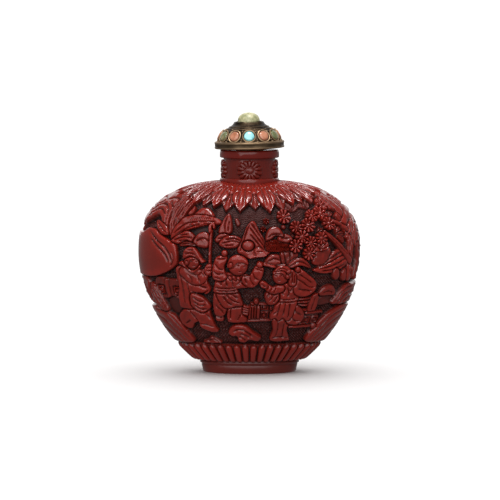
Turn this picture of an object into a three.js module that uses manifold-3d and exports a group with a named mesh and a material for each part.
// A carved cinnabar-lacquer snuff bottle with a jewelled metal stopper.
// The bottle is a flattened, high-shouldered flask, hollow, carved all round with boys
// at play in a garden. Pointed petals ring its neck, upright flutes ring its foot, and
// it stands on an oval foot rim. The stopper is a domed metal cap that carries twelve
// set stones and a jade knob, over a cork.
// Millimetres, +Z up. The front faces -Y, and the origin is the centre of the underside.
import * as THREE from "three";
import { mergeVertices } from "three/addons/utils/BufferGeometryUtils.js";
import Module from "manifold-3d";

// ---- driving dimensions ----
const HALF_WIDTH = 31; // of the body at its belly
const HALF_DEPTH = 18.6;
const BELLY_Z = 33.3; // the height of the widest section
const PLAN_POWER = 2.1; // 2 would be an ellipse in plan
const SHOULDER = { rise: 20.3, across: 2.732, up: 2.563 }; // above the belly
const LOWER = { rise: 37.6, across: 1.535, up: 1.885 }; // below the belly
const RELIEF = 2; // how deep the ground is cut below the outer contour
const SINK = 0.7; // how far a carved form runs down into the ground

const CHAMBER = { halfWidth: 26.4, halfDepth: 14, rise: 16, fall: 34, floor: 5.6, ceiling: 49.1 };
const FOOT = { bottom: 13, width: 13.4, height: 2.2, bead: 14.2, beadTop: 3.6, rim: 1.9, recess: 0.6 };
const NECK = { radius: 7.3, ring: 8.25, ringTop: 54.1, lipFrom: 59.7, top: 61.9, bore: 4.3 };
const ROSETTES = { count: 4, radius: 3.6, z: 57, height: 0.8, petals: 6 };
const PETALS = { count: 22, phase: -5, halfAngle: 6.7, tipAcross: 20.5, tipOut: 16.4, from: 7.7, height: 1.9 };
const FLUTES = { count: 46, bottom: 3.9, shoulder: 8.1, top: 9, height: 1.9, groove: 0.6 };

const STOPPER_TILT = 1.5; // degrees, +X side up, as it sits in the mouth
const CAP = { seat: 62.3, rimTop: 64.1, rim: 9.8, domeRadius: 9.53, domeCentre: 60.45, collar: 4.2, collarTop: 69.8 };
const SETTINGS = { count: 12, z: 65.7, out: 7.6, lean: 29, bezel: 1.9, bezelHeight: 0.75, bezelSink: 0.9 };
const STONE = { radius: 1.42, seat: 0.15, dome: 0.85, clearance: 0.12 };
const KNOB = { radius: 3.1, seat: 69.25, top: 72.2, pocket: 3.35, pocketFloor: 69 };
const CORK = { top: 62.1, bottom: 55.6, radius: 3.9, foot: 3.65 };

const BODY_SIDES = 26;
const CHAMBER_SIDES = 16;
const ROUND_SIDES = 18;
const STONE_SIDES = 7;

// ---- materials ----
const finish = (color, roughness, metalness) => new THREE.MeshStandardMaterial({ color, roughness, metalness });
const LACQUER = finish("#7a2620", 0.35, 0);
const GILT_METAL = finish("#5d4a30", 0.45, 0.9);
const CORK_BARK = finish("#8a6643", 0.9, 0);
const JADE = finish("#b7b78c", 0.25, 0);
const STONE_KINDS = [
  ["turquoise", finish("#6fc9d3", 0.3, 0)],
  ["coral", finish("#c4805f", 0.35, 0)],
  ["green_stone", finish("#6f7f45", 0.3, 0)],
  ["coral", finish("#c4805f", 0.35, 0)],
];

// ---- solids ----
const wasm = await Module();
wasm.setup();

function solid(geometry) {
  const bare = new THREE.BufferGeometry().setAttribute("position", geometry.getAttribute("position"));
  bare.setIndex(geometry.index);
  const merged = mergeVertices(bare, 1e-4);
  return new wasm.Manifold(
    new wasm.Mesh({
      numProp: 3,
      vertProperties: merged.attributes.position.array,
      triVerts: new Uint32Array(merged.index.array),
    }),
  );
}

const join = (solids) => solids.reduce((whole, next) => whole.add(next));

function named(name, material, made) {
  const { numProp, vertProperties, triVerts } = made.getMesh();
  const places = new Float32Array((vertProperties.length / numProp) * 3);
  for (let i = 0; i < places.length / 3; i++) {
    places.set(vertProperties.subarray(i * numProp, i * numProp + 3), i * 3);
  }
  const geometry = new THREE.BufferGeometry();
  geometry.setAttribute("position", new THREE.BufferAttribute(places, 3));
  geometry.setIndex(new THREE.BufferAttribute(triVerts, 1));
  geometry.computeVertexNormals();
  const mesh = new THREE.Mesh(geometry, material);
  mesh.name = name;
  return mesh;
}

function mapped(geometry, move) {
  const place = geometry.getAttribute("position");
  for (let i = 0; i < place.count; i++) {
    const { x, y, z } = move(place.getX(i), place.getY(i), place.getZ(i));
    place.setXYZ(i, x, y, z);
  }
  return geometry;
}

// A closed form of revolution about Z. Its profile is [radius, height] from bottom to top,
// and its first vertex in each ring faces the front.
function turned(profile, sides) {
  const lathe = new THREE.LatheGeometry(profile.map(([r, z]) => new THREE.Vector2(r, z)), sides);
  return lathe.rotateX(Math.PI / 2);
}

// ---- the outer contour of the body ----
function profileWidth(z, width = HALF_WIDTH, rise = SHOULDER.rise, fall = LOWER.rise) {
  const above = z >= BELLY_Z;
  const part = above ? SHOULDER : LOWER;
  const share = Math.min(Math.abs(z - BELLY_Z) / (above ? rise : fall), 1);
  return width * (1 - share ** part.up) ** (1 / part.across);
}

// turn is the angle from the front centre line, growing towards +X.
function planPoint(turn, halfX, halfY, z) {
  const bulge = (v) => Math.sign(v) * Math.abs(v) ** (2 / PLAN_POWER);
  return new THREE.Vector3(halfX * bulge(Math.sin(turn)), -halfY * bulge(Math.cos(turn)), z);
}

function contour(turn, z) {
  const across = profileWidth(z);
  return planPoint(turn, across, (across * HALF_DEPTH) / HALF_WIDTH, z);
}

function outward(surface, a, b) {
  const step = 1e-3;
  const alongA = surface(a + step, b).sub(surface(a - step, b));
  const alongB = surface(a, b + step).sub(surface(a, b - step));
  return alongA.cross(alongB).normalize();
}

// The arc round the belly from the front centre line, for each of equal steps of the turn.
const ARC_STEPS = 720;
const arcAt = [0];
for (let i = 1; i <= ARC_STEPS; i++) {
  const [a, b] = [i - 1, i].map((k) => contour((k / ARC_STEPS) * Math.PI * 2, BELLY_Z));
  arcAt.push(arcAt[i - 1] + a.distanceTo(b));
}
const BELT = arcAt[ARC_STEPS];
const SIDE = BELT / 4; // the arc from the front centre line to the middle of a side
const BACK = BELT / 2;

function turnAt(arc) {
  const wrapped = ((arc % BELT) + BELT) % BELT;
  const next = Math.max(1, arcAt.findIndex((length) => length >= wrapped));
  const share = (wrapped - arcAt[next - 1]) / (arcAt[next] - arcAt[next - 1]);
  return ((next - 1 + share) / ARC_STEPS) * Math.PI * 2;
}

// The chart that the carving is laid out in: arc is the arc round the belly from the front
// centre line to the point's meridian, and h is the height above the carved ground.
function onBody(arc, z, h) {
  const turn = turnAt(arc);
  return contour(turn, z).addScaledVector(outward(contour, turn, z), h - RELIEF);
}

// The shoulder as a surface over the plan: reach from the neck's axis, and turn about it.
function shoulderAt(reach, turn) {
  const x = reach * Math.sin(turn);
  const y = -reach * Math.cos(turn);
  const stretched = Math.abs((y * HALF_WIDTH) / HALF_DEPTH);
  const width = (Math.abs(x) ** PLAN_POWER + stretched ** PLAN_POWER) ** (1 / PLAN_POWER);
  const share = (1 - (width / HALF_WIDTH) ** SHOULDER.across) ** (1 / SHOULDER.up);
  return new THREE.Vector3(x, y, BELLY_Z + SHOULDER.rise * share);
}

const onShoulder = (reach, turn, h) =>
  shoulderAt(reach, turn).addScaledVector(outward(shoulderAt, reach, turn), h - RELIEF);

// ---- carved forms, made flat and laid on a surface ----
const laid = (geometry, surface) => solid(mapped(geometry, surface));

// A flat-topped form with this outline, its walls leaning in towards the top.
function slab(outline, height, { lean = 0.88, surface = onBody } = {}) {
  const shape = new THREE.Shape(outline.map(([a, b]) => new THREE.Vector2(a, b)));
  const raised = new THREE.ExtrudeGeometry(shape, { depth: height + SINK, bevelEnabled: false });
  const middle = [0, 1].map((k) => outline.reduce((sum, point) => sum + point[k], 0) / outline.length);
  return laid(raised, (a, b, h) => {
    const pull = h > SINK ? lean : 1;
    return surface(middle[0] + (a - middle[0]) * pull, middle[1] + (b - middle[1]) * pull, h - SINK);
  });
}

function bump(arc, z, across, up, height) {
  const ball = new THREE.SphereGeometry(1, 7, 3).rotateX(Math.PI / 2);
  return laid(ball.scale(across, up, height).translate(arc, z, 0), onBody);
}

// A tapered round-ended form between two joints, each [arc, z, radius].
function limb([fromArc, fromZ, fromR], [toArc, toZ, toR], height) {
  const length = Math.hypot(toArc - fromArc, toZ - fromZ);
  const profile = [[0, -fromR], [fromR, 0], [toR, length], [0, length + toR]];
  const lathe = new THREE.LatheGeometry(profile.map(([r, y]) => new THREE.Vector2(r, y)), 4);
  lathe.scale(1, 1, height / Math.max(fromR, toR)).rotateZ(Math.atan2(fromArc - toArc, toZ - fromZ));
  return laid(lathe.translate(fromArc, fromZ, 0), onBody);
}

const chain = (joints, height) => join(joints.slice(1).map((joint, i) => limb(joints[i], joint, height)));

// A leaf from its stalk to its tip, bowed to its left by bend.
function leaf([fromArc, fromZ], [toArc, toZ], width, bend = 0, height = 1.6) {
  const along = new THREE.Vector2(toArc - fromArc, toZ - fromZ);
  const side = new THREE.Vector2(-along.y, along.x).normalize();
  const edge = (sign) => (share) => {
    const out = bend * Math.sin(Math.PI * share) + sign * (width / 2) * Math.sin(Math.PI * share ** 0.8);
    return [fromArc + along.x * share + side.x * out, fromZ + along.y * share + side.y * out];
  };
  const shares = [0.28, 0.7];
  const outline = [[fromArc, fromZ], ...shares.map(edge(-1)), [toArc, toZ], ...shares.toReversed().map(edge(1))];
  return slab(outline, height, { lean: 0.85 });
}

function starOutline(arc, z, radius, petals, notch) {
  return Array.from({ length: petals * 2 }, (_, i) => {
    const angle = (i / petals) * Math.PI;
    const reach = i % 2 ? radius * notch : radius;
    return [arc + reach * Math.cos(angle), z + reach * Math.sin(angle)];
  });
}

const blossom = (arc, z, radius) => slab(starOutline(arc, z, radius, 5, 0.62), 1.8, { lean: 0.75 });

// A boy in a belted coat and wide trousers. His pose gives points from his waist, and
// facing is 1, or -1 for the pose mirrored.
function boy(arc, z, pose, facing = 1) {
  const joint = ([da, dz, r]) => [arc + da * facing, z + dz, r];
  const corner = ([da, dz]) => [arc + da * facing, z + dz];
  const outline = facing > 0 ? pose.coat : pose.coat.toReversed();
  const [headArc, headZ] = corner(pose.head);
  return join([
    slab(outline.map(corner), 1.4),
    bump(headArc, headZ, 2.5, 2.8, 2.1),
    ...pose.arms.map((arm) => chain(arm.map(joint), 1.9)),
    ...pose.legs.map((leg) => chain(leg.map(joint), 1.7)),
  ]);
}

// ---- what is carved, as [arc, z] on the chart ----
const POSES = {
  marching: {
    head: [0.4, 7.9],
    coat: [[-4.6, -5.6], [-0.2, -5.8], [1, -1.4], [4.4, -0.4], [3.4, 5], [-3.2, 6]],
    arms: [[[2, 3, 1.3], [5, 6, 1]]],
    legs: [[[1.6, -4, 2.2], [1.4, -10.6, 1.6]], [[-3.2, -6, 1.7], [-4.6, -10, 1.5]]],
  },
  waving: {
    head: [2, 7.4],
    coat: [[-5, -3.4], [1.4, -3.8], [3, 0.4], [5.6, 3], [3.4, 5], [-2.4, 5], [-3.6, -0.2]],
    arms: [[[-2.8, 3.8, 1.3], [-2.5, 10.4, 1]], [[4.4, 2.6, 1.2], [7, 7.2, 0.9]]],
    legs: [[[-3, -3.4, 1.9], [-3.4, -7.6, 1.3]], [[0.8, -4, 1.9], [1.6, -7.2, 1.5]]],
  },
  running: {
    head: [-2.8, 6.2],
    coat: [[-4, -5.4], [1.6, -6], [3.2, -0.3], [4.6, 3.2], [1, 5.2], [-5.2, 4.6], [-2.8, 0.3]],
    arms: [[[-3.4, 2.6, 1.3], [-7.6, 4.8, 0.9]], [[3.4, 2.4, 1.3], [6.3, 2.6, 1.3], [1.8, 8.4, 0.9]]],
    legs: [[[1.6, -2.8, 2.1], [5.2, -5, 1.6]], [[-0.2, -6, 2.5], [-0.1, -10.4, 2.9]]],
  },
};

// Each face of the bottle, as seen from in front of it, with its own middle at arc 0.
const GARDENS = [
  {
    middle: -SIDE,
    rocks: [[[-5, 9], [5, 9], [6, 17], [0, 23], [-6, 18]]],
    leaves: [[[-3, 42], [3, 49], 4.4]],
    stones: [[0, BELLY_Z, 8, 7]],
  },
  {
    middle: SIDE,
    rocks: [[[-5, 9], [4, 9], [5, 16], [-3, 21]]],
    leaves: [[[-4, 40], [3, 48], 4.4]],
    stones: [[0, BELLY_Z, 5, 8.5]],
  },
  {
    middle: 0,
    boys: [[-16, 24.5, "marching"], [-4.5, 23.5, "waving"], [12, 21.3, "running"]],
    poles: [[[-10.6, 31, 0.5], [-10.6, 42, 0.5]], [[3.4, 31.4, 0.5], [9.6, 30.6, 0.5]]],
    rocks: [
      [[-36, 28.2], [-27, 28.3], [-22, 30], [-20.6, 33], [-21.2, 36.5], [-26, 39], [-31, 41], [-36, 40.5]],
      [[-4, 9.3], [0, 9.2], [4, 10], [0.5, 13], [-2.5, 14.2], [-6.5, 13.2], [-7.8, 10.8]],
      [[-37, 11], [-24.5, 9], [-27, 13], [-29.5, 18], [-28, 24], [-34, 25.5]],
      [[24.5, 9], [37, 11], [35, 24], [27.5, 24], [30, 18.6], [25.5, 13]],
      [[-0.4, 15.6], [6.6, 15.9], [6.8, 19], [4.6, 20.6], [-0.4, 20]],
      [[1, 33], [5.6, 34.8], [6, 36.2], [3.4, 40], [1, 43.3], [-0.8, 40.5], [-2.8, 38.2], [-1.5, 34.6]],
      [[5.6, 35.2], [11, 34.8], [12.3, 36.4], [10.4, 38.8], [9.4, 41], [7.6, 42], [5.8, 40.8], [5, 38.4]],
      [[5.6, 31.4], [10, 31.4], [9.3, 33.2], [7.8, 34.1], [6.3, 33.3]],
    ],
    leaves: [
      [[-23, 39], [-36, 42.5], 4.6, -2.5],
      [[-23, 39.5], [-27.5, 48], 4.2, 0.8],
      [[-22, 40], [-19, 50], 3],
      [[-21.5, 40], [-8.8, 43], 4.6, 2.6],
      [[-21, 37], [-11, 38.2], 3.4, 0.6],
      [[-9.5, 37.2], [-1.8, 37.6], 3.2, 0.4],
      [[11, 30.6], [18, 30.4], 2.2, 1],
      [[20.5, 29.6], [30, 33.4], 3.4, 0.4],
      [[18.5, 31.2], [24.4, 37.4], 4.4, -0.4],
      [[12.4, 46], [20.5, 47], 2, 0.6],
      [[34.5, 34], [35, 42], 3.6],
    ],
    blossoms: [
      [10.8, 44.4], [17, 42], [23.4, 44], [15, 37], [20.4, 38],
    ],
    trunks: [[[29, 49, 1.1], [31.4, 42, 1.2], [30.2, 32, 1.2], [33, 26, 1.4]]],
    fences: [[[15.5, 21.4], 4, 2.2, 2], [[18.4, 13.6], 5, 3.9, 2]],
    stones: [[24, 23.4, 2.2, 2], [-13.5, 9.7, 2.6, 1.2]],
  },
  {
    middle: BACK,
    boys: [[-11, 23.5, "running", -1], [5, 25, "waving", -1]],
    poles: [[[13.6, 16, 0.5], [12.6, 36, 0.5]]],
    rocks: [
      [[-9, 9.4], [9, 9.4], [5, 13], [-3, 13.8], [-6.5, 12]],
      [[-35, 11], [-24.5, 9], [-26, 14], [-29, 20], [-35, 22]],
      [[24.5, 9], [35, 11], [35, 26], [30, 25], [28, 18], [25.5, 13]],
      [[-27, 34], [-20, 33], [-18.6, 37], [-22, 40.5], [-28, 40]],
      [[-3.5, 37], [4.5, 36.4], [5.5, 40], [1, 43], [-2.5, 41.5]],
    ],
    leaves: [
      [[-24, 26], [-33, 34], 4.6, -1],
      [[8, 38], [20, 44], 4.4, 1.6],
      [[12, 37], [24, 38], 3.6, 0.8],
      [[-6, 42], [-16, 46], 3.6, -0.8],
      [[22, 17], [25, 26], 3.6, 0.6],
    ],
    blossoms: [[-17, 42.6], [24, 43], [-22, 44.6]],
    trunks: [[[26, 28, 1.3], [29, 35, 1.2], [33, 42, 1.1], [34, 48, 1]]],
    fences: [[[-3, 20.6], 8, 3.2, 3]],
    stones: [[-20, 15.6, 2.6, 2.2], [20, 13, 2.4, 1.8]],
  },
];

const plank = (left, low, right, high, height) => slab([[left, low], [right, low], [right, high], [left, high]], height);

// Rails from a low left corner, with a post at the end of the run.
function fence([arc, z], length, rise, rails) {
  const made = Array.from({ length: rails }, (_, i) => {
    const low = z + (rise * i) / (rails - 1);
    return plank(arc, low, arc + length, low + 0.8, 0.9);
  });
  return join([...made, plank(arc + length - 0.6, z - 1, arc + length + 0.9, z + rise + 1.6, 1.5)]);
}

function garden({ middle, rocks, leaves, boys = [], poles = [], blossoms = [], trunks = [], fences = [], stones = [] }) {
  const shift = ([arc, ...rest]) => [arc + middle, ...rest];
  return join([
    ...rocks.map((outline) => slab(outline.map(shift), 2)),
    ...leaves.map(([root, tip, width, bend]) => leaf(shift(root), shift(tip), width, bend)),
    ...trunks.map((joints) => chain(joints.map(shift), 1.9)),
    ...poles.map((joints) => chain(joints.map(shift), 1.7)),
    ...fences.map(([corner, ...sizes]) => fence(shift(corner), ...sizes)),
    ...stones.map(([arc, ...sizes]) => bump(arc + middle, ...sizes, RELIEF)),
    ...blossoms.map(([arc, z]) => blossom(arc + middle, z, 2)),
    ...boys.map(([arc, z, pose, facing]) => boy(arc + middle, z, POSES[pose], facing)),
  ]);
}

// ---- the bands round the neck and the foot ----
function petalRing() {
  const { count, phase, halfAngle, tipAcross, tipOut, from, height } = PETALS;
  const radians = THREE.MathUtils.degToRad;
  const half = radians(halfAngle);
  const petal = (turn) => {
    const tip = 1 / Math.hypot(Math.sin(turn) / tipAcross, Math.cos(turn) / tipOut);
    const reach = (share) => from + (tip - from) * share;
    const outline = [
      [reach(0), turn - half * 0.8],
      [reach(0.7), turn - half * 0.9],
      [reach(1), turn],
      [reach(0.7), turn + half * 0.9],
      [reach(0), turn + half * 0.8],
    ];
    return slab(outline, height, { lean: 0.9, surface: onShoulder });
  };
  return join(Array.from({ length: count }, (_, i) => petal(radians(phase) + (i / count) * Math.PI * 2)));
}

// One ring of ridges with a groove between each two, sloping away at their upper ends.
function fluteRing() {
  const { count, bottom, shoulder, top, height, groove } = FLUTES;
  const columns = count * 2;
  return ringed([bottom, shoulder, top], columns, (turn, z) => {
    const column = Math.round((turn / (Math.PI * 2)) * columns);
    const reach = column % 2 === 0 ? height : groove;
    return onBody((column / columns) * BELT, z, z < top ? reach : -0.4);
  });
}

// ---- the bottle ----
// A closed form whose rings lie on surface(turn, z), at these heights from bottom to top.
function ringed(heights, sides, surface) {
  const profile = [[0, heights[0]], ...heights.map((z) => [1, z]), [0, heights.at(-1)]];
  return solid(
    mapped(turned(profile, sides), (x, y, z) => {
      const place = surface(Math.atan2(x, -y), z);
      const out = Math.min(1, Math.hypot(x, y));
      return new THREE.Vector3(place.x * out, place.y * out, place.z);
    }),
  );
}

function bottle() {
  const levels = [4.6, 9.6, 16, 24, 33.3, 41, 46.5, 50.4, 52.7, 53.5];
  const ground = ringed(levels, BODY_SIDES, (turn, z) =>
    contour(turn, z).addScaledVector(outward(contour, turn, z), -RELIEF),
  );

  const ratio = HALF_DEPTH / HALF_WIDTH;
  const oval = (halfWidths) => (turn, z) => planPoint(turn, halfWidths(z), halfWidths(z) * ratio, z);
  const foot = ringed([0, 0.5, 6], BODY_SIDES, oval((z) => (z === 0 ? FOOT.bottom : FOOT.width)));
  const bead = ringed([FOOT.height, FOOT.beadTop], BODY_SIDES, oval(() => FOOT.bead));
  const recess = ringed([-1, FOOT.recess], CHAMBER_SIDES, (turn, z) =>
    planPoint(turn, FOOT.bottom - FOOT.rim, FOOT.bottom * ratio - FOOT.rim, z),
  );

  const neck = solid(
    turned(
      [
        [0, 50.4],
        [NECK.ring, 50.4],
        [NECK.ring, NECK.ringTop - 0.2],
        [NECK.radius, NECK.ringTop + 0.3],
        [NECK.radius, NECK.lipFrom],
        [NECK.ring, NECK.lipFrom + 0.3],
        [NECK.ring, NECK.top],
        [0, NECK.top],
      ],
      ROUND_SIDES,
    ),
  );
  const onNeck = (middle) => (across, z, h) => {
    const turn = middle + across / NECK.radius;
    const reach = NECK.radius + h - 0.1;
    return new THREE.Vector3(reach * Math.sin(turn), -reach * Math.cos(turn), z);
  };
  const rosettes = Array.from({ length: ROSETTES.count }, (_, i) =>
    slab(starOutline(0, ROSETTES.z, ROSETTES.radius, ROSETTES.petals, 0.8), ROSETTES.height, {
      lean: 0.9,
      surface: onNeck((i / ROSETTES.count) * Math.PI * 2),
    }),
  );

  const inside = (turn, z) =>
    planPoint(
      turn,
      profileWidth(z, CHAMBER.halfWidth, CHAMBER.rise, CHAMBER.fall),
      profileWidth(z, CHAMBER.halfDepth, CHAMBER.rise, CHAMBER.fall),
      z,
    );
  const chamber = ringed([CHAMBER.floor, 12, 22, 33.3, 41.5, 46.5, CHAMBER.ceiling], CHAMBER_SIDES, inside);
  const bore = solid(turned([[0, 47], [NECK.bore, 47], [NECK.bore, 63], [0, 63]], 12));

  return join([ground, foot, bead, neck, fluteRing(), petalRing(), ...rosettes, ...GARDENS.map(garden)])
    .subtract(recess)
    .subtract(chamber)
    .subtract(bore);
}

// ---- the stopper, made upright about the bottle's axis ----
const domeZ = (radius) => CAP.domeCentre + Math.sqrt(CAP.domeRadius ** 2 - radius ** 2);

// Stands a form, made upright at the origin, on the dome as setting number i.
function onDome(geometry, i) {
  const lean = THREE.MathUtils.degToRad(90 - SETTINGS.lean);
  const place = new THREE.Matrix4()
    .makeRotationZ((i / SETTINGS.count) * Math.PI * 2)
    .multiply(new THREE.Matrix4().makeTranslation(0, -SETTINGS.out, SETTINGS.z))
    .multiply(new THREE.Matrix4().makeRotationX(lean));
  return solid(geometry.applyMatrix4(place));
}

function stopperCap() {
  const domeFoot = Math.sqrt(CAP.domeRadius ** 2 - (CAP.rimTop - CAP.domeCentre) ** 2);
  const domeSteps = [0, 0.3, 0.65, 1].map((share) => domeFoot + (CAP.collar - domeFoot) * share);
  let cap = solid(
    turned(
      [
        [0, CAP.seat],
        [CAP.rim, CAP.seat],
        [CAP.rim, CAP.rimTop],
        ...domeSteps.map((radius) => [radius, domeZ(radius)]),
        [CAP.collar, CAP.collarTop],
        [KNOB.pocket, CAP.collarTop],
        [KNOB.pocket, KNOB.pocketFloor],
        [0, KNOB.pocketFloor],
      ],
      ROUND_SIDES,
    ),
  );
  const { bezel, bezelHeight, bezelSink, count } = SETTINGS;
  const pocket = STONE.radius + STONE.clearance;
  for (let i = 0; i < count; i++) {
    const collet = turned([[0, -bezelSink], [bezel, -bezelSink], [bezel, bezelHeight], [0, bezelHeight]], STONE_SIDES);
    cap = cap.add(onDome(collet, i));
  }
  for (let i = 0; i < count; i++) {
    cap = cap.subtract(onDome(turned([[0, 0], [pocket, 0], [pocket, 2], [0, 2]], STONE_SIDES), i));
  }
  return cap;
}

const setStone = (i) => {
  const { radius, seat, dome } = STONE;
  const profile = [[0, seat], [radius, seat], [radius * 0.8, seat + dome * 0.75], [0, seat + dome * 1.25]];
  return onDome(turned(profile, STONE_SIDES), i);
};

function jadeKnob() {
  const rise = KNOB.top - KNOB.seat - 0.6;
  const profile = [0, 0.35, 0.7].map((share) => [
    KNOB.radius * Math.cos((share * Math.PI) / 2),
    KNOB.seat + 0.6 + rise * Math.sin((share * Math.PI) / 2),
  ]);
  return solid(turned([[0, KNOB.seat], [KNOB.radius, KNOB.seat], ...profile, [0, KNOB.top]], 12));
}

const cork = () => solid(turned([[0, CORK.bottom], [CORK.foot, CORK.bottom], [CORK.radius, CORK.top], [0, CORK.top]], 16));

const stopper = new THREE.Group();
stopper.add(named("stopper_cap", GILT_METAL, stopperCap()));
stopper.add(named("stopper_cork", CORK_BARK, cork()));
stopper.add(named("jade_knob", JADE, jadeKnob()));
for (let i = 0; i < SETTINGS.count; i++) {
  const [kind, material] = STONE_KINDS[i % STONE_KINDS.length];
  const number = String(i + 1).padStart(2, "0");
  stopper.add(named(`set_stone_${number}_${kind}`, material, setStone(i)));
}

// It tilts about the middle of its seat.
const mouth = new THREE.Group();
mouth.position.z = CAP.seat;
stopper.position.z = -CAP.seat;
mouth.rotation.y = -THREE.MathUtils.degToRad(STOPPER_TILT);
mouth.add(stopper);

const snuffBottle = new THREE.Group();
snuffBottle.add(named("bottle", LACQUER, bottle()));
snuffBottle.add(mouth);

export default snuffBottle;
